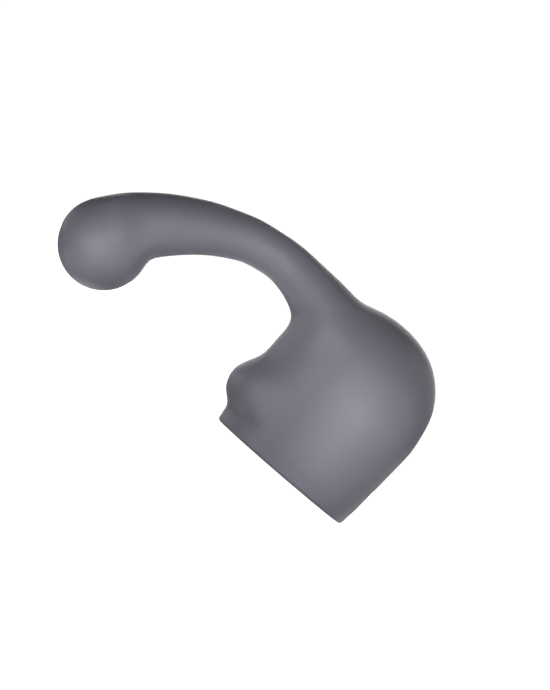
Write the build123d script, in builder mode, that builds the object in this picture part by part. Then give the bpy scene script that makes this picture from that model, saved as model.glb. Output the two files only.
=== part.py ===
"""Curved, weighted slip-on attachment for a wand massager.

A soft silicone body carries a steel weight on a curved steel spine. The lower end is an open
cup that stretches over the round head of a wand massager; a curved arm leaves the crown of the
cup, runs out sideways and comes down to a ball-shaped tip. A low, wide nub stands proud of the
cup just above its rim, on the side that faces the tip.

Frame, in millimetres: origin at the centre of the cup's mouth, on the rim plane. +Z runs up the
axis of the cup, the arm reaches towards -X, and the body is symmetric about the XZ plane.
"""

import math
import os

from build123d import *

os.makedirs("parts", exist_ok=True)

# ---------------------------------------------------------------- driving dimensions
# outer shape of the cup
RIM_R = 34.85             # outside radius at the rim
BELLY_R, BELLY_Z = 37.75, 41.5
CROWN_Z = 82.05           # top of the dome
RIM_ROUND = 1.6

# tip ball
TIP_X, TIP_Z, TIP_R = -120.8, 25.0, 20.0

# arm: centre x, centre z, half height, half width, from inside the tip ball to inside the dome
ARM = [
    (-119.3, 30.9, 16.9, 16.9),
    (-114.9, 39.4, 15.2, 15.2),
    (-109.2, 45.6, 13.9, 13.9),
    (-103.0, 51.1, 12.9, 12.9),
    (-96.2, 56.1, 12.0, 12.0),
    (-89.0, 60.4, 11.2, 11.2),
    (-81.5, 64.2, 10.4, 10.4),
    (-73.7, 67.2, 9.9, 9.9),
    (-65.3, 69.1, 9.65, 9.65),
    (-57.0, 69.9, 9.75, 9.85),
    (-48.7, 69.4, 10.3, 12.0),
    (-40.4, 67.8, 11.5, 15.8),
    (-32.2, 65.2, 13.5, 20.1),
    (-24.6, 61.6, 16.2, 23.8),
    (-16.9, 57.5, 19.0, 26.8),
]

# nub above the rim
NUB_X, NUB_Z = -24.0, 19.4
NUB_A, NUB_B, NUB_C = 19.0, 31.0, 13.0     # semi-axes along X, Y, Z

# soft blends of the outer shape
ROOT_BLEND, TIP_BLEND, NUB_BLEND = 12.0, 4.0, 2.0

# socket: the liner's inside
MOUTH_R = 27.6            # relaxed radius of the retaining lip
BORE_R = 29.0             # relaxed radius of the socket wall
LIP_H = 6.0
MOUTH_ROUND = 0.8
ROOF_Z = 58.0             # crown of the socket
LINER_R = 32.0            # outside of the liner
LINER_TOP = 61.0
RIB_R = 28.3              # crest of the grip ribs
RIB_ZS = (15.0, 23.0, 31.0)
RIB_HALF = 1.6
AIR_GROOVES, AIR_W = 4, 3.0

# drive plate
PLATE_R, PLATE_T = 22.0, 4.0
KEY_HOLES, KEY_HOLE_R, KEY_PCR = 6, 3.0, 16.5
CORE_HOLE_R = 2.5         # tapped hole that held the plate on the mould core
BOSS_R, BOSS_X0, BOSS_X1 = 7.5, -21.0, 8.0

# spine
ROD_R = 4.0
ROD_Z = 69.3              # height of its straight root
ROD_X_END = 4.0
ROD_BEND_R = 62.0
ROD_TAIL = 13.0           # straight length that ends at the centre of the weight

# tip weight
WEIGHT_R = 11.0
PIN_R, PIN_HALF = 1.5, 9.4

# grub screws
SCREW_R, SCREW_L = 2.0, 5.2
SCREW_XS = (-15.0, -5.0)

# spacers that centred the spine in the mould
SPACER_T, SPACER_HUB = 4.0, 1.6
SPACER_AT = (6.0, 30.0, 54.0)   # distances along the bend
SPACER_SKIN = 1.2         # soft skin left over the spacers' tips

# roof plug
PLUG_R, PLUG_HEAD_R = 4.0, 6.5

# ---------------------------------------------------------------- spine centreline
_amp = math.hypot(ROD_BEND_R, ROD_TAIL)
BEND = math.acos((TIP_Z - ROD_Z + ROD_BEND_R) / _amp) - math.atan2(ROD_TAIL, ROD_BEND_R)
BEND_X = TIP_X + ROD_BEND_R * math.sin(BEND) + ROD_TAIL * math.cos(BEND)
TAIL_X = BEND_X - ROD_BEND_R * math.sin(BEND)
TAIL_Z = ROD_Z - ROD_BEND_R + ROD_BEND_R * math.cos(BEND)
TAIL_DIR = Vector(-math.cos(BEND), 0, -math.sin(BEND))


def on_spine(s):
    """Point and direction at distance s along the spine from where its bend starts."""
    a = s / ROD_BEND_R
    point = Vector(BEND_X - ROD_BEND_R * math.sin(a), 0, ROD_Z - ROD_BEND_R * (1 - math.cos(a)))
    return point, Vector(-math.cos(a), 0, -math.sin(a))


def depth(p):
    """How far a point on the XZ plane lies inside the arm's soft skin."""
    best = 0.0
    for (xa, za, ra, _), (xb, zb, rb, _) in zip(ARM, ARM[1:]):
        for i in range(9):
            t = i / 8
            x, z, r = xa + (xb - xa) * t, za + (zb - za) * t, ra + (rb - ra) * t
            best = max(best, r - math.hypot(p.X - x, p.Z - z))
    return best


# ---------------------------------------------------------------- drive plate
with BuildPart() as drive_plate:
    with BuildSketch(Plane.XY.offset(LINER_TOP)):
        Circle(PLATE_R)
    extrude(amount=PLATE_T)
    fillet(drive_plate.edges().filter_by(GeomType.CIRCLE), 1.2)
    with BuildSketch(Plane.YZ.offset(BOSS_X0)):
        with Locations((0, ROD_Z)):
            Circle(BOSS_R)
        with Locations((0, (LINER_TOP + 1 + ROD_Z) / 2)):
            Rectangle(2 * BOSS_R, ROD_Z - LINER_TOP - 1)
    extrude(amount=BOSS_X1 - BOSS_X0)
    fillet(
        drive_plate.faces().filter_by(Axis.X).sort_by(Axis.X)[-1].edges().sort_by(Axis.Z)[-1:], 1.5
    )
    # blind bore for the spine
    with BuildSketch(Plane.YZ.offset(BOSS_X0)):
        with Locations((0, ROD_Z)):
            Circle(ROD_R)
    extrude(amount=ROD_X_END - BOSS_X0, mode=Mode.SUBTRACT)
    # tapped holes for the grub screws
    for sx in SCREW_XS:
        with BuildSketch(Plane.XY.offset(ROD_Z)):
            with Locations((sx, 0)):
                Circle(SCREW_R)
        extrude(amount=BOSS_R + 2, mode=Mode.SUBTRACT)
    # holes that the silicone flows through, and the tapped centre hole
    with BuildSketch(Plane.XY.offset(LINER_TOP)):
        with PolarLocations(KEY_PCR, KEY_HOLES, start_angle=30):
            Circle(KEY_HOLE_R)
    extrude(amount=PLATE_T, mode=Mode.SUBTRACT)
    with BuildSketch(Plane.XY.offset(LINER_TOP)):
        Circle(CORE_HOLE_R)
    extrude(amount=3.2, mode=Mode.SUBTRACT)
drive_plate.part.label = "drive_plate"
export_step(drive_plate.part, "parts/drive_plate.step")

# ---------------------------------------------------------------- spine rod
with BuildPart() as spine_rod:
    with BuildLine(Plane.XZ) as spine_line:
        root = Line((ROD_X_END, ROD_Z), (BEND_X, ROD_Z))
        bend = TangentArc((BEND_X, ROD_Z), (TAIL_X, TAIL_Z), tangent=(-1, 0))
        tail = Line((TAIL_X, TAIL_Z), (TIP_X, TIP_Z))
    with BuildSketch(Plane(origin=(ROD_X_END, 0, ROD_Z), z_dir=(-1, 0, 0))):
        Circle(ROD_R)
    sweep(path=spine_line.line)
    chamfer(spine_rod.edges().filter_by(GeomType.CIRCLE).sort_by(Axis.X)[-1:], 0.6)
    # flats under the grub screws
    with BuildSketch(Plane.XZ.offset(-ROD_R - 1)):
        for sx in SCREW_XS:
            with Locations((sx, ROD_Z + ROD_R)):
                Rectangle(6.0, 1.4)
    extrude(amount=2 * ROD_R + 2, mode=Mode.SUBTRACT)
    # cross hole for the tip pin
    with BuildSketch(Plane.XZ.offset(-ROD_R - 1)):
        with Locations((TIP_X - 3.2 * TAIL_DIR.X, TIP_Z - 3.2 * TAIL_DIR.Z)):
            Circle(PIN_R)
    extrude(amount=2 * ROD_R + 2, mode=Mode.SUBTRACT)
spine_rod.part.label = "spine_rod"
export_step(spine_rod.part, "parts/spine_rod.step")

# ---------------------------------------------------------------- tip weight
tip_centre = Vector(TIP_X, 0, TIP_Z)
pin_at = tip_centre - TAIL_DIR * 3.2
with BuildPart() as tip_weight:
    with Locations(tip_centre):
        Sphere(WEIGHT_R)
    # bore for the spine, with its mouth on a spot face
    with BuildSketch(Plane(origin=tip_centre, z_dir=-TAIL_DIR)):
        Circle(ROD_R)
    extrude(amount=WEIGHT_R + 1, mode=Mode.SUBTRACT)
    with BuildSketch(Plane(origin=tip_centre - TAIL_DIR * (WEIGHT_R - 1.6), z_dir=-TAIL_DIR)):
        Circle(ROD_R + 3)
    extrude(amount=4, mode=Mode.SUBTRACT)
    with BuildSketch(Plane(origin=(pin_at.X, 0, pin_at.Z), z_dir=(0, 1, 0))):
        Circle(PIN_R)
    extrude(amount=WEIGHT_R + 1, both=True, mode=Mode.SUBTRACT)
tip_weight.part.label = "tip_weight"
export_step(tip_weight.part, "parts/tip_weight.step")

with BuildPart() as tip_pin:
    with BuildSketch(Plane(origin=(pin_at.X, 0, pin_at.Z), z_dir=(0, 1, 0))):
        Circle(PIN_R)
    extrude(amount=PIN_HALF, both=True)
    chamfer(tip_pin.edges().filter_by(GeomType.CIRCLE), 0.35)
tip_pin.part.label = "tip_pin"
export_step(tip_pin.part, "parts/tip_pin.step")

# ---------------------------------------------------------------- grub screws
with BuildPart() as grub_screws:
    seat_z = ROD_Z + ROD_R - 0.7
    for sx in SCREW_XS:
        with BuildSketch(Plane.XY.offset(seat_z)):
            with Locations((sx, 0)):
                Circle(SCREW_R)
        extrude(amount=SCREW_L - 1.4)
    chamfer(grub_screws.edges().filter_by(GeomType.CIRCLE), 0.3)
    with BuildSketch(Plane.XY.offset(seat_z + SCREW_L - 1.4)):
        with Locations(*[(sx, 0) for sx in SCREW_XS]):
            RegularPolygon(1.15, 6)
    extrude(amount=-2.0, mode=Mode.SUBTRACT)
grub_screws.part.label = "grub_screws"
export_step(grub_screws.part, "parts/grub_screws.step")

# ---------------------------------------------------------------- spacers on the spine
with BuildPart() as spine_spacers:
    for s in SPACER_AT:
        p, d = on_spine(s)
        reach = depth(p) - SPACER_SKIN
        with BuildSketch(Plane(origin=p, x_dir=(0, 1, 0), z_dir=d)):
            Circle(ROD_R + SPACER_HUB)
            with PolarLocations(reach / 2, 3, start_angle=90):
                Rectangle(reach, 2.6)
        extrude(amount=SPACER_T / 2, both=True)
    add(spine_rod.part, mode=Mode.SUBTRACT)
spine_spacers.part.label = "spine_spacers"
export_step(spine_spacers.part, "parts/spine_spacers.step")

# ---------------------------------------------------------------- socket liner
with BuildPart() as socket_liner:
    with BuildSketch(Plane.XZ) as liner_half:
        with BuildLine():
            outer_top = Line((0, LINER_TOP), (PLATE_R, LINER_TOP))
            outer_bow = Spline(
                (PLATE_R, LINER_TOP), (28.6, 55.0), (31.4, 46.0), (LINER_R, 36.0),
                tangents=[(1, 0), (0, -1)],
            )
            Line((LINER_R, 36.0), (LINER_R, 0))
            Line((LINER_R, 0), (MOUTH_R, 0))
            Line((MOUTH_R, 0), (MOUTH_R, LIP_H))
            Line((MOUTH_R, LIP_H), (BORE_R, LIP_H + 2.4))
            Line((BORE_R, LIP_H + 2.4), (BORE_R, 36.0))
            Spline(
                (BORE_R, 36.0), (28.2, 43.5), (24.6, 51.0), (15.5, 56.4), (0, ROOF_Z),
                tangents=[(0, 1), (-1, 0)],
            )
            Line((0, ROOF_Z), (0, LINER_TOP))
        make_face()
    revolve(axis=Axis.Z)
    # round the inside of the mouth
    fillet(
        socket_liner.edges().filter_by(GeomType.CIRCLE).group_by(Axis.Z)[0].sort_by(SortBy.RADIUS)[:1],
        MOUTH_ROUND,
    )
    # grip ribs: shallow rounded rings on the socket wall
    for rz in RIB_ZS:
        with BuildSketch(Plane.XZ):
            with BuildLine():
                ThreePointArc((BORE_R, rz - RIB_HALF), (RIB_R, rz), (BORE_R, rz + RIB_HALF))
                Polyline(
                    (BORE_R, rz + RIB_HALF), (BORE_R + 1, rz + RIB_HALF),
                    (BORE_R + 1, rz - RIB_HALF), (BORE_R, rz - RIB_HALF),
                )
            make_face()
        revolve(axis=Axis.Z)
    # air grooves that let the cup slide on and off without a vacuum
    with BuildSketch(Plane.XY.offset(LIP_H + 2.4)):
        with PolarLocations(BORE_R, AIR_GROOVES, start_angle=45):
            Circle(AIR_W / 2)
    extrude(amount=RIB_ZS[-1] + RIB_HALF + 4.0 - LIP_H - 2.4, mode=Mode.SUBTRACT)
    # stepped hole in the roof for the plug
    with BuildSketch(Plane.XY.offset(ROOF_Z - 2.0)):
        Circle(PLUG_R)
    extrude(amount=LINER_TOP - ROOF_Z + 2.0, mode=Mode.SUBTRACT)
    with BuildSketch(Plane.XY.offset(LINER_TOP - 1.2)):
        Circle(PLUG_HEAD_R)
    extrude(amount=1.2, mode=Mode.SUBTRACT)
socket_liner.part.label = "socket_liner"
export_step(socket_liner.part, "parts/socket_liner.step")

# ---------------------------------------------------------------- roof plug
with BuildPart() as roof_plug:
    with BuildSketch(Plane.XY.offset(ROOF_Z + 0.15)):
        Circle(PLUG_R)
    extrude(amount=LINER_TOP - 1.2 - ROOF_Z - 0.15)
    with BuildSketch(Plane.XY.offset(LINER_TOP - 1.2)):
        Circle(PLUG_HEAD_R)
    extrude(amount=1.2)
    with BuildSketch(Plane.XY.offset(LINER_TOP)):
        Circle(CORE_HOLE_R)
    extrude(amount=2.6)
    fillet(roof_plug.edges().filter_by(GeomType.CIRCLE).group_by(Axis.Z)[0], 0.4)
roof_plug.part.label = "roof_plug"
export_step(roof_plug.part, "parts/roof_plug.step")

# ---------------------------------------------------------------- outer sleeve
# the nub is an ellipsoid, which is a sphere scaled by a different amount along each axis
nub = Location((NUB_X, 0, NUB_Z)) * scale(Sphere(1), by=(NUB_A, NUB_B, NUB_C))

with BuildPart() as outer_sleeve:
    # cup and dome
    with BuildSketch(Plane.XZ):
        with BuildLine():
            Line((0, 0), (RIM_R, 0))
            Spline(
                (RIM_R, 0), (36.27, 16.0), (37.05, 28.0), (BELLY_R, BELLY_Z), (36.89, 50.2),
                (35.57, 56.8), (33.13, 63.3), (29.24, 69.2), (24.2, 74.3), (18.14, 78.2),
                (11.37, 80.7), (5.5, 81.75), (0, CROWN_Z),
                tangents=[(0.07, 1), (-1, 0)],
            )
            Line((0, CROWN_Z), (0, 0))
        make_face()
    revolve(axis=Axis.Z)
    # arm, flaring into the dome at its root
    with BuildLine(Plane.XZ) as arm_line:
        arm_path = Spline(*[(x, z) for x, z, _, _ in ARM])
    for x, z, r, w in ARM:
        at = Vector(x, 0, z)
        heading = arm_path.tangent_at(arm_path.param_at_point(at))
        with BuildSketch(Plane(origin=at, x_dir=(0, 1, 0), z_dir=heading)):
            Ellipse(w, r)
    loft()
    # ball at the tip
    with Locations((TIP_X, 0, TIP_Z)):
        Sphere(TIP_R)
    # soft blends where the arm meets the dome and the ball
    joins = [
        e for e in outer_sleeve.edges()
        if sorted(f.geom_type.name for f in outer_sleeve.faces() if e in f.edges())
        in (["BSPLINE", "REVOLUTION"], ["BSPLINE", "SPHERE"])
    ]
    fillet([e for e in joins if e.center().X > -60], ROOT_BLEND)
    joins = [
        e for e in outer_sleeve.edges()
        if "SPHERE" in [f.geom_type.name for f in outer_sleeve.faces() if e in f.edges()]
        and e.geom_type != GeomType.CIRCLE
    ]
    fillet(joins, TIP_BLEND)
    # nub on the side that faces the tip
    smooth = outer_sleeve.edges()
    add(nub)
    fillet(outer_sleeve.edges() - smooth, NUB_BLEND)
    # rounded outer edge of the rim
    fillet(outer_sleeve.faces().sort_by(Axis.Z)[0].edges(), RIM_ROUND)
    # seat of the liner and of the weight assembly, which the silicone is moulded around
    with BuildSketch(Plane.XZ):
        with BuildLine():
            add(outer_top)
            add(outer_bow)
            Polyline((LINER_R, 36.0), (LINER_R, 0), (0, 0), (0, LINER_TOP))
        make_face()
    revolve(axis=Axis.Z, mode=Mode.SUBTRACT)
    for inner in (drive_plate, spine_rod, tip_weight, tip_pin, spine_spacers):
        add(inner.part, mode=Mode.SUBTRACT)
    # no silicone reaches the blind bore, the tapped centre hole or the grub screws
    with BuildSketch(Plane.YZ.offset(BOSS_X0)):
        with Locations((0, ROD_Z)):
            Circle(ROD_R)
    extrude(amount=ROD_X_END - BOSS_X0, mode=Mode.SUBTRACT)
    with BuildSketch(Plane.XY.offset(LINER_TOP)):
        Circle(CORE_HOLE_R)
    extrude(amount=3.2, mode=Mode.SUBTRACT)
    with BuildSketch(Plane.XY.offset(ROD_Z)):
        with Locations(*[(sx, 0) for sx in SCREW_XS]):
            Circle(SCREW_R)
    extrude(amount=seat_z + SCREW_L - 1.4 - ROD_Z, mode=Mode.SUBTRACT)
outer_sleeve.part.label = "outer_sleeve"
export_step(outer_sleeve.part, "parts/outer_sleeve.step")
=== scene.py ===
"""Looks for the wand massager attachment: soft silicone body, socket liner, metal core."""

import math

import bpy
import bmesh
import numpy as np
from mathutils import Matrix, Vector


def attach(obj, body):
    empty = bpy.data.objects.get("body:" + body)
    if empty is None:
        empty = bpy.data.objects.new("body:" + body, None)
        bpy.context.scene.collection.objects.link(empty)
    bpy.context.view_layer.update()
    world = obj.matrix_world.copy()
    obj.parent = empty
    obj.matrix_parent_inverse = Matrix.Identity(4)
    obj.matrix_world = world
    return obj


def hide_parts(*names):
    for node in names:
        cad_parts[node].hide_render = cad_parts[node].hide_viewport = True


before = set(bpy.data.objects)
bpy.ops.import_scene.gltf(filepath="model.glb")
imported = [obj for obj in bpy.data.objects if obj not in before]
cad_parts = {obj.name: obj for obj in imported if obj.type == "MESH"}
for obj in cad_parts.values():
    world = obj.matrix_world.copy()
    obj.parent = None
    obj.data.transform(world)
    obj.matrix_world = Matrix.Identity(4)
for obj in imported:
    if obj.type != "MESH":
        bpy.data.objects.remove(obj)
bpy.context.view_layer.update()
MM = 0.001

# ------------------------------------------------------------------ camera
# Level view along +Y, rolled so that the cup's mouth faces down and to the left.
AIM = Vector((-0.0367, 0.0, 0.0401))
DISTANCE = 1.5
ROLL = math.radians(40.72)
FRAME_HEIGHT = 0.2967          # metres across the long side of the picture, at the object

cam_data = bpy.data.cameras.new("camera")
cam_data.type = "PERSP"
cam_data.sensor_fit = "VERTICAL"
cam_data.sensor_height = 36.0
cam_data.sensor_width = 36.0
cam_data.lens = 36.0 * DISTANCE / FRAME_HEIGHT
cam_data.clip_start = 0.05
cam_data.clip_end = 60.0
camera = bpy.data.objects.new("camera", cam_data)
bpy.context.scene.collection.objects.link(camera)
right = Vector((math.cos(ROLL), 0.0, math.sin(ROLL)))
up = Vector((-math.sin(ROLL), 0.0, math.cos(ROLL)))
back = Vector((0.0, -1.0, 0.0))
turn = Matrix((right, up, back)).transposed().to_4x4()
camera.matrix_world = Matrix.Translation(AIM + back * DISTANCE) @ turn
bpy.context.scene.camera = camera

# ------------------------------------------------------------------ shape data, in millimetres
# outside of the cup and dome: (z, radius)
WALL = [
    (0.0, 34.84), (2.5, 34.98), (5.0, 35.26), (7.5, 35.62), (10.0, 35.85), (13.0, 36.06),
    (16.0, 36.27), (19.0, 36.48), (22.0, 36.69), (25.0, 36.87), (28.0, 37.05), (31.0, 37.24),
    (34.0, 37.44), (37.0, 37.62), (40.0, 37.74), (43.64, 37.71), (46.92, 37.38), (50.2, 36.89),
    (53.5, 36.31), (56.84, 35.57), (60.14, 34.54), (63.34, 33.13), (66.38, 31.34),
    (69.24, 29.24), (71.89, 26.85), (74.3, 24.2), (76.42, 21.28), (78.2, 18.14),
    (79.61, 14.82), (80.66, 11.37), (81.39, 7.85), (81.84, 4.29), (82.03, 0.0),
]
RIM_ROUND = 1.6

# arm: centre x, centre z, radius
ARM = [
    (-124.3, 26.1, 15.84), (-120.0, 34.26, 15.13), (-113.17, 41.92, 14.42), (-105.6, 48.96, 13.46),
    (-97.75, 55.02, 12.39), (-89.86, 60.1, 11.42), (-82.0, 64.01, 10.55), (-74.12, 67.2, 9.96),
    (-65.86, 68.97, 9.65), (-57.39, 69.96, 9.7), (-48.92, 69.48, 10.28), (-40.69, 68.02, 11.4),
    (-33.03, 65.85, 13.22), (-25.92, 62.47, 15.74), (-18.86, 57.45, 18.85),
]
TIP = (-120.76, 24.93, 19.88)
ROOT_BLEND, ROOT_BLEND_SIDE = 6.84, 10.0
# how much wider than high the arm grows towards its root, by x
FLARE = [
    (-66.0, 1.0), (-60.0, 1.0), (-56.0, 1.01), (-52.0, 1.07), (-47.0, 1.21), (-42.0, 1.34),
    (-37.0, 1.44), (-32.0, 1.49), (-27.0, 1.485), (-22.0, 1.45), (-17.0, 1.41), (-10.0, 1.38),
]
TIP_BLEND_INNER, TIP_BLEND_OUTER, TIP_BLEND_SIDE = 6.0, 3.0, 15.0

# nub: how far it stands out at the middle, by height
NUB = [
    (6.4, 0.0), (8.0, 0.6), (10.0, 2.4), (12.0, 4.4), (14.0, 5.7), (16.5, 6.55), (19.0, 6.93),
    (21.5, 6.68), (24.0, 5.88), (26.5, 4.72), (29.0, 3.3), (31.5, 1.85), (34.0, 0.78),
    (37.0, 0.2), (40.0, 0.0),
]
NUB_MID = 19.0
NUB_FLAT, NUB_END = math.radians(28), math.radians(70)

# socket liner
LINER_R, BORE_R, MOUTH_R, LIP_H = 32.0, 29.0, 27.6, 6.0
ROOF_Z, LINER_TOP = 58.0, 61.0
RIB_R, RIB_HALF, RIB_ZS = 28.3, 1.6, (15.0, 23.0, 31.0)
GROOVE_R, GROOVES, GROOVE_TOP = 1.5, 4, 36.6
PLUG_R, PLUG_HEAD_R, PLATE_R = 4.0, 6.5, 22.0


# ------------------------------------------------------------------ number helpers
def cubic(t, y, x):
    """Natural cubic spline through (t, y), evaluated at x."""
    t, y = np.asarray(t, float), np.asarray(y, float)
    n, h = len(t), np.diff(t)
    a, b = np.zeros((n, n)), np.zeros(n)
    a[0, 0] = a[-1, -1] = 1
    for i in range(1, n - 1):
        a[i, i - 1:i + 2] = h[i - 1], 2 * (h[i - 1] + h[i]), h[i]
        b[i] = 6 * ((y[i + 1] - y[i]) / h[i] - (y[i] - y[i - 1]) / h[i - 1])
    m = np.linalg.solve(a, b)
    k = np.clip(np.searchsorted(t, x) - 1, 0, n - 2)
    dx, ex, hk = x - t[k], t[k + 1] - x, h[k]
    return ((m[k] * ex ** 3 + m[k + 1] * dx ** 3) / (6 * hk)
            + (y[k] / hk - m[k] * hk / 6) * ex + (y[k + 1] / hk - m[k + 1] * hk / 6) * dx)


def along(points, n):
    """n points spread evenly along a smooth curve through the given ones."""
    p = np.array(points, float)
    t = np.r_[0, np.cumsum(np.hypot(*np.diff(p[:, :2], axis=0).T))]
    tt = np.linspace(0, t[-1], n)
    return np.stack([cubic(t, p[:, c], tt) for c in range(p.shape[1])], 1)


def sstep(a, b, x):
    t = np.clip((x - a) / (b - a), 0, 1)
    return t * t * (3 - 2 * t)


def smin(a, b, k):
    """Smooth union of two distances."""
    h = np.maximum(k - np.abs(a - b), 0) / k
    return np.minimum(a, b) - h * h * h * k / 6


# ------------------------------------------------------------------ the outside as a distance field
class Profile:
    """Signed distance to the turned profile of the cup, tabulated over radius and height."""

    def __init__(self, step=0.5, reach=75.0, low=-12.0, high=100.0):
        wall = along([(z, r) for z, r in WALL], 420)
        wall[-1, 1] = 0.0
        wall = wall[wall[:, 0] > RIM_ROUND + 0.3]
        edge = WALL[0][1] + 0.02
        a = np.radians(np.linspace(-90, 0, 14))
        r = np.r_[0.0, np.linspace(5, edge - RIM_ROUND - 2, 6), edge - RIM_ROUND + RIM_ROUND * np.cos(a), wall[:, 1]]
        z = np.r_[0.0, np.zeros(6), RIM_ROUND + RIM_ROUND * np.sin(a), wall[:, 0]]
        self.step, self.low, self.left = step, low, -3.0
        rr, zz = np.meshgrid(np.arange(self.left, reach, step), np.arange(low, high, step), indexing="ij")
        rr = np.abs(rr)
        best, inside = np.full(rr.shape, 1e9), np.zeros(rr.shape, bool)
        for ax, az, bx, bz in zip(r, z, r[1:], z[1:]):
            ex, ez = bx - ax, bz - az
            length = ex * ex + ez * ez
            if length < 1e-9:
                continue
            t = np.clip(((rr - ax) * ex + (zz - az) * ez) / length, 0, 1)
            best = np.minimum(best, (rr - ax - t * ex) ** 2 + (zz - az - t * ez) ** 2)
            if az != bz:
                inside ^= ((az <= zz) != (bz <= zz)) & (rr < ax + (zz - az) / (bz - az) * ex)
        self.table = np.where(inside, -1, 1) * np.sqrt(best)

    def __call__(self, r, z):
        i = np.clip((r - self.left) / self.step, 1.001, self.table.shape[0] - 3.001)
        j = np.clip((z - self.low) / self.step, 1.001, self.table.shape[1] - 3.001)
        a, b = np.floor(i).astype(int), np.floor(j).astype(int)

        def weights(t):
            return ((-t + 2 * t * t - t ** 3) / 2, (2 - 5 * t * t + 3 * t ** 3) / 2,
                    (t + 4 * t * t - 3 * t ** 3) / 2, (t ** 3 - t * t) / 2)

        u, v = weights(i - a), weights(j - b)
        out = 0
        for p in range(4):
            for q in range(4):
                out = out + u[p] * v[q] * self.table[a + p - 1, b + q - 1]
        return out


profile = Profile()
arm_line = along(ARM, 130)
flare_x = np.linspace(-66, -10, 225)
flare_q = cubic([x for x, _ in FLARE], [q for _, q in FLARE], flare_x)
nub_z = np.linspace(2.0, 42.0, 401)
nub_h = np.maximum(cubic([z for z, _ in NUB], [h for _, h in NUB], np.clip(nub_z, 6.4, 40.0)), 0)


def arm_field(x, y, z):
    """Distance to the arm: the least of distance to a centre minus its radius, refined between centres."""
    best, before, after = (np.full(x.shape, 1e9) for _ in range(3))
    index, waiting, last = np.zeros(x.shape, int), np.zeros(x.shape, bool), None
    y2 = y * y
    for i, (cx, cz, r) in enumerate(arm_line):
        g = np.sqrt((x - cx) ** 2 + y2 + (z - cz) ** 2) - r
        after = np.where(waiting, g, after)
        better = g < best
        if last is not None:
            before = np.where(better, last, before)
        index = np.where(better, i, index)
        best = np.where(better, g, best)
        waiting, last = better, g
    bend = before + after - 2 * best
    good = (index > 0) & (index < len(arm_line) - 1) & (bend > 1e-9)
    return best - np.where(good, (after - before) ** 2 / (8 * np.where(good, bend, 1)), 0)


def nub_height(x, y, z):
    """How far the nub stands out of the wall: an oval pad that fades towards both sides."""
    phi = np.abs(np.arctan2(y, -x))
    q = np.clip(phi / NUB_END, 0, 1)
    narrow = np.sqrt(1 - np.where(z > NUB_MID, 0.6, 0.15) * q * q)
    zz = NUB_MID + (z - NUB_MID) / narrow
    return np.interp(zz, nub_z, nub_h) * (1 - sstep(NUB_FLAT, NUB_END, phi))


def outside(p):
    """The body's outer surface is where this is zero."""
    x, y, z = p[:, 0], p[:, 1], p[:, 2]
    f = profile(np.hypot(x, y), z)
    low = (x < 0) & (z < 44)
    f[low] -= nub_height(x[low], y[low], z[low])
    far = x < 24
    xa, ya, za = x[far], y[far], z[far]
    arm = arm_field(xa, ya / np.interp(xa, flare_x, flare_q), za)
    tip = np.sqrt((xa - TIP[0]) ** 2 + ya ** 2 + (za - TIP[1]) ** 2) - TIP[2]
    inner = (xa + 112) * 0.87 - (za - 40) * 0.5
    k = TIP_BLEND_OUTER + (TIP_BLEND_INNER - TIP_BLEND_OUTER) * sstep(-14, 14, inner)
    leaving = (xa - TIP[0]) * 0.6 + (za - TIP[1]) * 0.8
    k = k + (TIP_BLEND_SIDE - k) * sstep(1, 13, np.abs(ya)) * sstep(-3, 11, leaving)
    arm = smin(arm, tip, k)
    k = ROOT_BLEND + (ROOT_BLEND_SIDE - ROOT_BLEND) * sstep(1, 18, np.abs(ya))
    f[far] = smin(f[far], arm, k)
    return f


def slope(p, e=0.04):
    """Gradient of the field, and the field itself, from four nearby values."""
    k = np.array([(1, -1, -1), (-1, -1, 1), (-1, 1, -1), (1, 1, 1)], float)
    f = [outside(p + e * d) for d in k]
    g = sum(v[:, None] * d for v, d in zip(f, k)) / (4 * e)
    return g, sum(f) / 4


def settle(p, pinned=None, rounds=2):
    """Moves points onto the surface along the slope."""
    for _ in range(rounds):
        g, f = slope(p)
        move = -f[:, None] * g / np.maximum((g * g).sum(1), 1e-6)[:, None]
        size = np.linalg.norm(move, axis=1)
        move *= np.minimum(1, 1.0 / np.maximum(size, 1e-9))[:, None]
        if pinned is not None:
            move[pinned] = 0
        p = p + move
    return p


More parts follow.
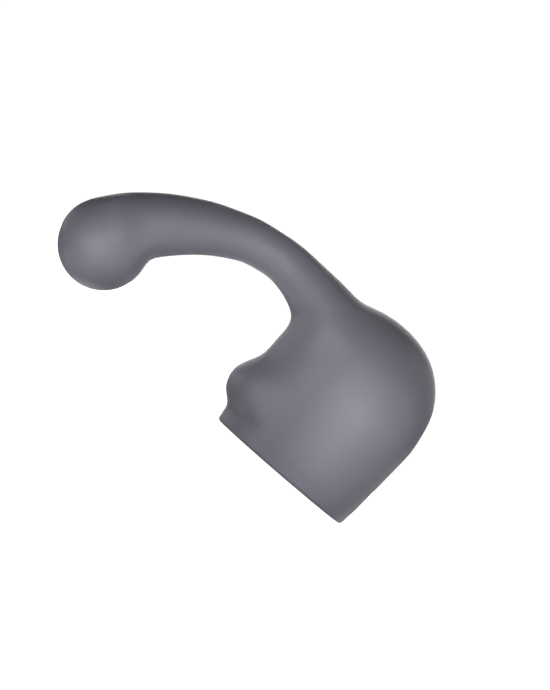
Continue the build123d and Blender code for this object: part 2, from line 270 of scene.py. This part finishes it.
def surface_net(step, keep_from):
    """Quads over the outside, without what lies under the height keep_from."""
    xs = np.arange(-144.0, 41.0, step)
    half = int(40 / step)
    ys = (np.arange(-half, half + 1) + 0.5) * step
    ys = ys - (ys[0] + ys[-1]) / 2
    zs = keep_from - 1.5 * step + step * np.arange(int(86 / step))
    f = np.empty((len(xs), len(ys), len(zs)))
    yy, zz = np.meshgrid(ys, zs, indexing="ij")
    yy, zz = yy.ravel(), zz.ravel()
    for i, x in enumerate(xs):
        f[i] = outside(np.stack([np.full(yy.shape, x), yy, zz], 1)).reshape(len(ys), len(zs))
    s = f < 0
    shape = np.array(f.shape) - 1
    total, count = np.zeros((shape.prod(), 3)), np.zeros(shape.prod())
    quads = []
    for axis in range(3):
        lo = [slice(None)] * 3
        hi = [slice(None)] * 3
        lo[axis], hi[axis] = slice(None, -1), slice(1, None)
        lo, hi = tuple(lo), tuple(hi)
        at = np.argwhere(s[lo] != s[hi])
        va = f[lo][tuple(at.T)]
        vb = f[hi][tuple(at.T)]
        pos = at.astype(float)
        pos[:, axis] += va / (va - vb)
        b, c = (axis + 1) % 3, (axis + 2) % 3
        ok = (at[:, b] > 0) & (at[:, c] > 0) & (at[:, b] < shape[b]) & (at[:, c] < shape[c])
        at, pos, va = at[ok], pos[ok], va[ok]
        ids = []
        for db, dc in ((-1, -1), (0, -1), (0, 0), (-1, 0)):
            cell = at.copy()
            cell[:, b] += db
            cell[:, c] += dc
            lin = (cell[:, 0] * shape[1] + cell[:, 1]) * shape[2] + cell[:, 2]
            np.add.at(total, lin, pos)
            np.add.at(count, lin, 1)
            ids.append(lin)
        q = np.stack(ids, 1)
        q[va > 0] = q[va > 0][:, ::-1]
        quads.append(q)
    quads = np.concatenate(quads)
    quads = quads[((quads % shape[2]) >= 1).all(1)]
    used, quads = np.unique(quads, return_inverse=True)
    quads = quads.reshape(-1, 4)
    p = total[used] / count[used][:, None] * step + np.array([xs[0], ys[0], zs[0]])
    layer = used % shape[2]
    return p, quads, layer


def edges_of(quads):
    e = np.sort(np.concatenate([quads[:, [0, 1]], quads[:, [1, 2]], quads[:, [2, 3]], quads[:, [3, 0]]]), 1)
    return np.unique(e, axis=0, return_inverse=True, return_counts=True)


def relax(p, quads, pinned, rounds):
    """Evens the quads out along the surface."""
    e, _, _ = edges_of(quads)
    n = np.bincount(e.ravel(), minlength=len(p)).astype(float)
    for _ in range(rounds):
        mean = np.zeros_like(p)
        np.add.at(mean, e[:, 0], p[e[:, 1]])
        np.add.at(mean, e[:, 1], p[e[:, 0]])
        move = 0.6 * (mean / n[:, None] - p)
        g, _ = slope(p)
        g /= np.linalg.norm(g, axis=1)[:, None]
        move -= (move * g).sum(1)[:, None] * g
        move[pinned] = 0
        p = settle(p + move, pinned, 1)
    return p


def split_quads(p, quads):
    """Each quad into four."""
    e, back_to, _ = edges_of(quads)
    back_to = back_to.reshape(4, -1).T
    n = len(p)
    mids = (p[e[:, 0]] + p[e[:, 1]]) / 2
    cent = p[quads].mean(1)
    m = n + back_to
    c = n + len(e) + np.arange(len(quads))
    out = [np.stack([quads[:, i], m[:, i], c, m[:, i - 1]], 1) for i in range(4)]
    return np.concatenate([p, mids, cent]), np.concatenate(out)


def make_object(name, verts, faces, smooth_angle=None):
    mesh = bpy.data.meshes.new(name)
    mesh.from_pydata((np.asarray(verts) * MM).tolist(), [], [list(map(int, f)) for f in faces])
    mesh.validate()
    for poly in mesh.polygons:
        poly.use_smooth = True
    if smooth_angle is not None:
        mesh.set_sharp_from_angle(angle=math.radians(smooth_angle))
    mesh.update()
    obj = bpy.data.objects.new(name, mesh)
    bpy.context.scene.collection.objects.link(obj)
    return obj


def rings_below(p, faces, loop, rows, close_at=None):
    """Adds rows of (radius, height) under a loop round the Z axis, and a last point to close it."""
    angle = np.arctan2(p[loop, 1], p[loop, 0])
    loop = loop[np.argsort(angle)]
    angle = np.sort(angle)
    n, prev, parts, top, new = len(loop), loop, [p], len(p), []
    for r, z in rows:
        parts.append(np.stack([r * np.cos(angle), r * np.sin(angle), np.full(n, z)], 1))
        row = top + np.arange(n)
        top += n
        new.append(np.stack([prev, row, np.roll(row, -1), np.roll(prev, -1)], 1))
        prev = row
    faces = [*faces.tolist(), *np.concatenate(new).tolist()]
    if close_at is not None:
        parts.append(np.array([[0.0, 0.0, close_at]]))
        faces += [[int(prev[i]), top, int(prev[(i + 1) % n])] for i in range(n)]
    return np.concatenate(parts), faces


# ------------------------------------------------------------------ outer sleeve
def build_sleeve():
    cut = 3.2
    step = 1.1
    p, quads, layer = surface_net(step, cut)
    e, _, times = edges_of(quads)
    rim = np.unique(e[times == 1])
    pinned = np.zeros(len(p), bool)
    pinned[rim] = True

    def onto_rim(p, rim):
        r = np.interp(cut, [z for z, _ in WALL], [r for _, r in WALL])
        a = np.arctan2(p[rim, 1], p[rim, 0])
        p[rim] = np.stack([r * np.cos(a), r * np.sin(a), np.full(len(rim), cut)], 1)
        return p

    p = onto_rim(p, rim)
    p = settle(p, pinned, 3)
    p = relax(p, quads, pinned, 5)
    p, quads = split_quads(p, quads)
    e, _, times = edges_of(quads)
    rim = np.unique(e[times == 1])
    p = onto_rim(p, rim)
    pinned = np.zeros(len(p), bool)
    pinned[rim] = True
    p = settle(p, pinned, 2)

    # rounded rim, flat underside, fine edge against the liner, then the hidden seat of the liner
    edge = WALL[0][1] + 0.02
    rows = [(34.96, 2.6), (34.91, 2.1)]
    for a in np.radians(np.linspace(0, -90, 10)):
        rows.append((edge - RIM_ROUND + RIM_ROUND * math.cos(a), RIM_ROUND + RIM_ROUND * math.sin(a)))
    rows += [(32.9, 0.0), (32.42, 0.0)]
    for a in np.radians(np.linspace(-90, -180, 5)):
        rows.append((32.32 + 0.3 * math.cos(a), 0.3 + 0.3 * math.sin(a)))
    rows += [(32.02, 1.2), (32.02, 12.0), (32.02, 36.0), (31.42, 46.0), (28.62, 55.02), (22.0, 61.02), (8.0, 61.02)]
    p, faces = rings_below(p, quads, rim, rows, 61.02)
    obj = make_object("silicone_sleeve", p, faces)
    return obj


# ------------------------------------------------------------------ socket liner
def liner_rows():
    """(radius, height, groove share) down the inside, over the rim and up the outside."""
    rows = []

    def put(r, z, g=0.0):
        rows.append((r, z, g))

    # hole for the plug, its rounded edge and the roof
    put(PLUG_R, LINER_TOP - 1.2)
    put(PLUG_R, ROOF_Z + 0.35)
    for a in np.radians(np.linspace(0, 90, 5))[1:]:
        put(PLUG_R + 0.35 - 0.35 * math.cos(a), ROOF_Z + 0.33 - 0.35 * math.sin(a))
    roof = along([(0, 58.0), (8.0, 57.6), (15.5, 56.2), (20.6, 54.0), (24.6, 51.0), (27.1, 47.2),
                  (28.45, 42.5), (28.9, 39.0), (29.0, 36.0)], 40)
    for r, z in roof:
        if r > PLUG_R + 0.6:
            put(r, z, sstep(GROOVE_TOP + 0.2, GROOVE_TOP - 1.4, z))
    # socket wall with its ribs
    heights = [35.0, 34.0]
    for rib in sorted(RIB_ZS, reverse=True):
        heights += list(rib + RIB_HALF * np.array([1.25, 1.0, 0.85, 0.65, 0.45, 0.22, 0, -0.22, -0.45, -0.65, -0.85, -1.0, -1.25]))
        heights += [rib - 4.0]
    heights += [10.4, 9.9, 9.4, 8.9, 8.6]
    sag = BORE_R - RIB_R
    arc = (RIB_HALF ** 2 + sag ** 2) / (2 * sag)
    for z in heights:
        r = BORE_R
        for rib in RIB_ZS:
            if abs(z - rib) < RIB_HALF:
                r = RIB_R + arc - math.sqrt(arc ** 2 - (z - rib) ** 2)
        put(r, z, float(sstep(LIP_H + 2.5, LIP_H + 3.9, z)))
    # shoulder of the lip, lip, rounded mouth
    put(28.9, 8.2)
    put(28.3, 7.18)
    put(27.78, 6.3)
    put(27.64, 6.02)
    put(MOUTH_R, 5.7)
    put(MOUTH_R, 3.2)
    for a in np.radians(np.linspace(0, 90, 8)):
        put(MOUTH_R + 0.8 - 0.8 * math.cos(a), 0.8 - 0.8 * math.sin(a))
    # flat rim and the fine edge against the sleeve
    put(29.6, 0.0)
    put(31.2, 0.0)
    for a in np.radians(np.linspace(-90, 0, 5)):
        put(31.68 + 0.3 * math.cos(a), 0.3 + 0.3 * math.sin(a))
    # outside, hidden in the sleeve
    for r, z in ((31.98, 1.2), (31.98, 12.0), (31.98, 36.0), (31.38, 46.0), (28.58, 55.0), (22.0, 60.98),
                 (PLUG_HEAD_R, 60.98), (PLUG_HEAD_R, LINER_TOP - 1.2)):
        put(r, z)
    return rows


def build_liner():
    middle = math.pi / GROOVES
    wide = GROOVE_R / BORE_R
    near = np.linspace(-1.25 * wide, 1.25 * wide, 17)
    cols = []
    for g in range(GROOVES):
        at = middle + g * 2 * math.pi / GROOVES
        cols += list(at + near)
        cols += list(at + np.linspace(1.25 * wide, 2 * math.pi / GROOVES - 1.25 * wide, 52)[1:-1])
    cols = np.array(sorted(cols))
    off = (cols % (2 * math.pi / GROOVES)) - middle
    across = BORE_R * np.sin(off)
    deep = BORE_R * np.cos(off) - BORE_R + np.sqrt(np.maximum(GROOVE_R ** 2 - across ** 2, 0))
    deep = np.where(np.abs(across) < GROOVE_R, deep, 0)
    rows = liner_rows()
    n = len(cols)
    verts, faces = [], []
    for r, z, g in rows:
        full = np.maximum(r, BORE_R + deep)
        rr = np.where(deep > 0, r + (full - r) * g, r)
        verts.append(np.stack([rr * np.cos(cols), rr * np.sin(cols), np.full(n, z)], 1))
    k = len(rows)
    i = np.arange(n)
    for row in range(k):
        a, b = row * n, ((row + 1) % k) * n
        faces.append(np.stack([a + i, a + (i + 1) % n, b + (i + 1) % n, b + i], 1))
    return make_object("socket_liner_detail", np.concatenate(verts), np.concatenate(faces), 38)


sleeve = build_sleeve()
liner = build_liner()
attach(sleeve, "root")
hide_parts("outer_sleeve")
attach(liner, "root")
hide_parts("socket_liner")


# ------------------------------------------------------------------ materials
class Nodes:
    """A material's node tree, with short calls for the nodes used here."""

    def __init__(self, name):
        self.material = bpy.data.materials.new(name)
        self.material.use_nodes = True
        self.tree = self.material.node_tree
        self.tree.nodes.clear()
        self.out = self.add("ShaderNodeOutputMaterial")
        self.shader = self.add("ShaderNodeBsdfPrincipled")
        self.link(self.shader, "BSDF", self.out, "Surface")
        self.where = self.add("ShaderNodeTexCoord")

    def add(self, kind, **settings):
        node = self.tree.nodes.new(kind)
        for k, v in settings.items():
            setattr(node, k, v)
        return node

    def link(self, a, out, b, inp):
        self.tree.links.new(a.outputs[out], b.inputs[inp])

    def set(self, **values):
        for k, v in values.items():
            self.shader.inputs[k.replace("_", " ")].default_value = v

    def noise(self, scale, detail=2.0, rough=0.5, squeeze=None):
        node = self.add("ShaderNodeTexNoise")
        node.inputs["Scale"].default_value = scale
        node.inputs["Detail"].default_value = detail
        node.inputs["Roughness"].default_value = rough
        source = (self.where, "Object")
        if squeeze:
            mapping = self.add("ShaderNodeMapping")
            mapping.inputs["Scale"].default_value = squeeze
            self.link(self.where, "Object", mapping, "Vector")
            source = (mapping, "Vector")
        self.link(*source, node, "Vector")
        return node

    def span(self, node, out, lo, hi, to_lo, to_hi):
        m = self.add("ShaderNodeMapRange")
        m.inputs["From Min"].default_value = lo
        m.inputs["From Max"].default_value = hi
        m.inputs["To Min"].default_value = to_lo
        m.inputs["To Max"].default_value = to_hi
        self.link(node, out, m, "Value")
        return m

    def ramp(self, node, out, stops):
        r = self.add("ShaderNodeValToRGB")
        e = r.color_ramp.elements
        while len(e) < len(stops):
            e.new(0.5)
        for el, (pos, col) in zip(e, stops):
            el.position = pos
            el.color = (*col, 1)
        self.link(node, out, r, "Fac")
        return r

    def bump(self, node, out, distance, strength=1.0, under=None):
        b = self.add("ShaderNodeBump")
        b.inputs["Distance"].default_value = distance
        b.inputs["Strength"].default_value = strength
        self.link(node, out, b, "Height")
        if under is not None:
            self.link(under, "Normal", b, "Normal")
        return b


def scaled(col, k):
    return tuple(c * k for c in col)


def silicone(name, base, rough, grain):
    m = Nodes(name)
    m.set(Specular_IOR_Level=0.45, IOR=1.42, Sheen_Weight=0.05, Sheen_Roughness=0.45)
    m.shader.inputs["Sheen Tint"].default_value = (0.97, 0.98, 0.97, 1.0)
    # slow drift of the pigment, and a fine mottle
    drift = m.noise(28.0, 3.0, 0.55)
    fine = m.noise(900.0, 2.0, 0.6)
    mix = m.add("ShaderNodeMath", operation="MULTIPLY_ADD")
    m.link(fine, "Fac", mix, 0)
    mix.inputs[1].default_value = 0.35
    m.link(drift, "Fac", mix, 2)
    colour = m.ramp(mix, "Value", [(0.42, scaled(base, 0.95)), (0.68, base), (0.95, scaled(base, 1.06))])
    m.link(colour, "Color", m.shader, "Base Color")
    # rubbed and less rubbed areas
    wear = m.noise(55.0, 4.0, 0.6)
    roughness = m.span(wear, "Fac", 0.3, 0.7, rough - 0.035, rough + 0.045)
    m.link(roughness, "Result", m.shader, "Roughness")
    # spark-eroded mould texture and the slight waviness of a soft moulding
    texture = m.noise(3200.0, 2.0, 0.65)
    waves = m.noise(120.0, 2.0, 0.5)
    b = m.bump(waves, "Fac", 0.00012, 0.5)
    b = m.bump(texture, "Fac", grain, 0.6, b)
    m.link(b, "Normal", m.shader, "Normal")
    return m.material


def metal(name, base, rough, squeeze, scale=700.0):
    m = Nodes(name)
    m.set(Metallic=1.0)
    streak = m.noise(scale, 3.0, 0.6, squeeze)
    blotch = m.noise(90.0, 3.0, 0.6)
    colour = m.ramp(blotch, "Fac", [(0.3, scaled(base, 0.86)), (0.55, base), (0.8, scaled(base, 1.08))])
    m.link(colour, "Color", m.shader, "Base Color")
    roughness = m.span(streak, "Fac", 0.25, 0.75, rough - 0.07, rough + 0.09)
    m.link(roughness, "Result", m.shader, "Roughness")
    b = m.bump(streak, "Fac", 0.00003, 0.5)
    m.link(b, "Normal", m.shader, "Normal")
    return m.material


SOFT = (0.149, 0.144, 0.175)
FIRM = (0.098, 0.095, 0.110)
soft_silicone = silicone("soft_silicone_look", SOFT, 0.50, 0.00003)
firm_silicone = silicone("firm_silicone_look", FIRM, 0.44, 0.00002)
plate_look = metal("zinc_plate_look", (0.50, 0.50, 0.48), 0.42, (1, 1, 6))
rod_look = metal("steel_bar_look", (0.55, 0.55, 0.56), 0.30, (0.15, 1, 1))
screw_look = metal("black_oxide_look", (0.055, 0.055, 0.06), 0.45, (1, 1, 4))
sleeve.data.materials.append(soft_silicone)
liner.data.materials.append(firm_silicone)
for node, look in (("drive_plate", plate_look), ("spine_rod", rod_look), ("tip_weight", rod_look),
                   ("tip_pin", rod_look), ("grub_screws", screw_look), ("spine_spacers", firm_silicone),
                   ("roof_plug", firm_silicone)):
    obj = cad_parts[node]
    if not obj.material_slots:
        obj.data.materials.append(look)
    for slot in obj.material_slots:
        slot.material = look


# ------------------------------------------------------------------ stage and light
FLOOR_SEEN = 0.95
WORLD_SEEN, WORLD_GLOW = 1.05, 0.032


def floor_material():
    """Pale studio floor: it takes a faint contact shadow, and lets the low lamps shine through."""
    m = bpy.data.materials.new("studio_floor")
    m.use_nodes = True
    t = m.node_tree
    t.nodes.clear()
    d = t.nodes.new("ShaderNodeBsdfDiffuse")
    d.inputs["Color"].default_value = (0.8, 0.8, 0.8, 1)
    e = t.nodes.new("ShaderNodeEmission")
    where = t.nodes.new("ShaderNodeTexCoord")
    away = t.nodes.new("ShaderNodeVectorMath")
    away.operation = "LENGTH"
    glow = t.nodes.new("ShaderNodeMapRange")
    glow.inputs["From Min"].default_value = 0.10
    glow.inputs["From Max"].default_value = 0.45
    glow.inputs["To Min"].default_value = FLOOR_SEEN
    glow.inputs["To Max"].default_value = WORLD_SEEN
    t.links.new(where.outputs["Object"], away.inputs[0])
    t.links.new(away.outputs["Value"], glow.inputs["Value"])
    t.links.new(glow.outputs["Result"], e.inputs["Strength"])
    clear = t.nodes.new("ShaderNodeBsdfTransparent")
    path = t.nodes.new("ShaderNodeLightPath")
    add = t.nodes.new("ShaderNodeAddShader")
    mix = t.nodes.new("ShaderNodeMixShader")
    o = t.nodes.new("ShaderNodeOutputMaterial")
    t.links.new(d.outputs[0], add.inputs[0])
    t.links.new(e.outputs[0], add.inputs[1])
    t.links.new(path.outputs["Is Camera Ray"], mix.inputs["Fac"])
    t.links.new(clear.outputs[0], mix.inputs[1])
    t.links.new(add.outputs[0], mix.inputs[2])
    t.links.new(mix.outputs[0], o.inputs["Surface"])
    return m


floor_mesh = bpy.data.meshes.new("floor")
bm = bmesh.new()
bmesh.ops.create_circle(bm, cap_ends=True, segments=96, radius=12.0)
bm.to_mesh(floor_mesh)
bm.free()
floor = bpy.data.objects.new("floor", floor_mesh)
floor.location = (0, 0, -0.00005)
bpy.context.scene.collection.objects.link(floor)
floor.data.materials.append(floor_material())

world = bpy.data.worlds.new("studio")
bpy.context.scene.world = world
world.use_nodes = True
t = world.node_tree
t.nodes.clear()
seen = t.nodes.new("ShaderNodeBackground")
seen.inputs["Color"].default_value = (1, 1, 1, 1)
seen.inputs["Strength"].default_value = WORLD_SEEN
glow = t.nodes.new("ShaderNodeBackground")
glow.inputs["Color"].default_value = (0.97, 0.98, 1.0, 1)
glow.inputs["Strength"].default_value = WORLD_GLOW
path = t.nodes.new("ShaderNodeLightPath")
mix = t.nodes.new("ShaderNodeMixShader")
out = t.nodes.new("ShaderNodeOutputWorld")
t.links.new(path.outputs["Is Camera Ray"], mix.inputs["Fac"])
t.links.new(glow.outputs[0], mix.inputs[1])
t.links.new(seen.outputs[0], mix.inputs[2])
t.links.new(mix.outputs[0], out.inputs["Surface"])

# soft discs: place, what each faces, diameter, watts
BODY = (AIM.x, AIM.y, AIM.z)
LAMPS = {
    "ball_front": ((-0.147, -0.115, -0.010), (-0.147, 0, -0.010), 0.09, 0.110),
    "arm_front": ((-0.115, -0.115, 0.055), (-0.115, 0, 0.055), 0.06, 0.038),
    "bend_front": ((-0.045, -0.115, 0.090), (-0.045, 0, 0.090), 0.06, 0.006),
    "root_front": ((-0.056, -0.058, 0.081), (-0.040, -0.012, 0.066), 0.03, 0.0095),
    "dome_front": ((-0.006, -0.115, 0.052), (-0.006, 0, 0.052), 0.06, 0.033),
    "wall_front": ((0.060, -0.115, 0.038), (0.060, 0, 0.038), 0.07, 0.089),
    "body_front": ((0.0, -0.200, 0.036), (0, 0, 0.036), 0.10, 0.023),
    "low_front": ((0.46, -0.94, -1.15), BODY, 0.7, 1.8),
    "low_side": ((-0.15, -0.49, -1.48), BODY, 0.7, 2.6),
    "cup_side": ((1.48, -0.49, -0.07), BODY, 0.7, 1.78),
    "cup_side_high": ((1.53, 0.06, 0.34), BODY, 0.7, 1.86),
    "top": ((0.63, 0.68, 1.33), BODY, 0.7, 2.24),
    "top_mid": ((0.10, 0.10, 1.60), BODY, 0.7, 0.81),
    "top_arm": ((-0.50, 0.68, 1.41), BODY, 0.7, 1.46),
    "low_arm": ((-0.70, 0.68, -1.25), BODY, 0.7, 3.36),
    "back_high": ((0.74, 1.23, 0.71), BODY, 0.7, 1.52),
    "back_low": ((0.15, 1.23, -0.97), BODY, 0.7, 3.79),
    "back_cup": ((0.93, 1.23, -0.30), BODY, 0.7, 2.3),
    "back_left": ((-1.20, 1.00, -0.10), BODY, 0.7, 2.2),
    "back_fill": ((-0.10, 1.45, 0.30), BODY, 1.2, 12.0),
}
for name, (at, to, size, power) in LAMPS.items():
    data = bpy.data.lights.new(name, "AREA")
    data.shape = "DISK"
    data.size = size
    data.energy = power
    lamp = bpy.data.objects.new(name, data)
    bpy.context.scene.collection.objects.link(lamp)
    lamp.location = at
    lamp.rotation_euler = (Vector(to) - Vector(at)).to_track_quat("-Z", "Y").to_euler()
    lamp.visible_camera = False

scene = bpy.context.scene
scene.view_settings.view_transform = "Standard"
scene.view_settings.look = "None"
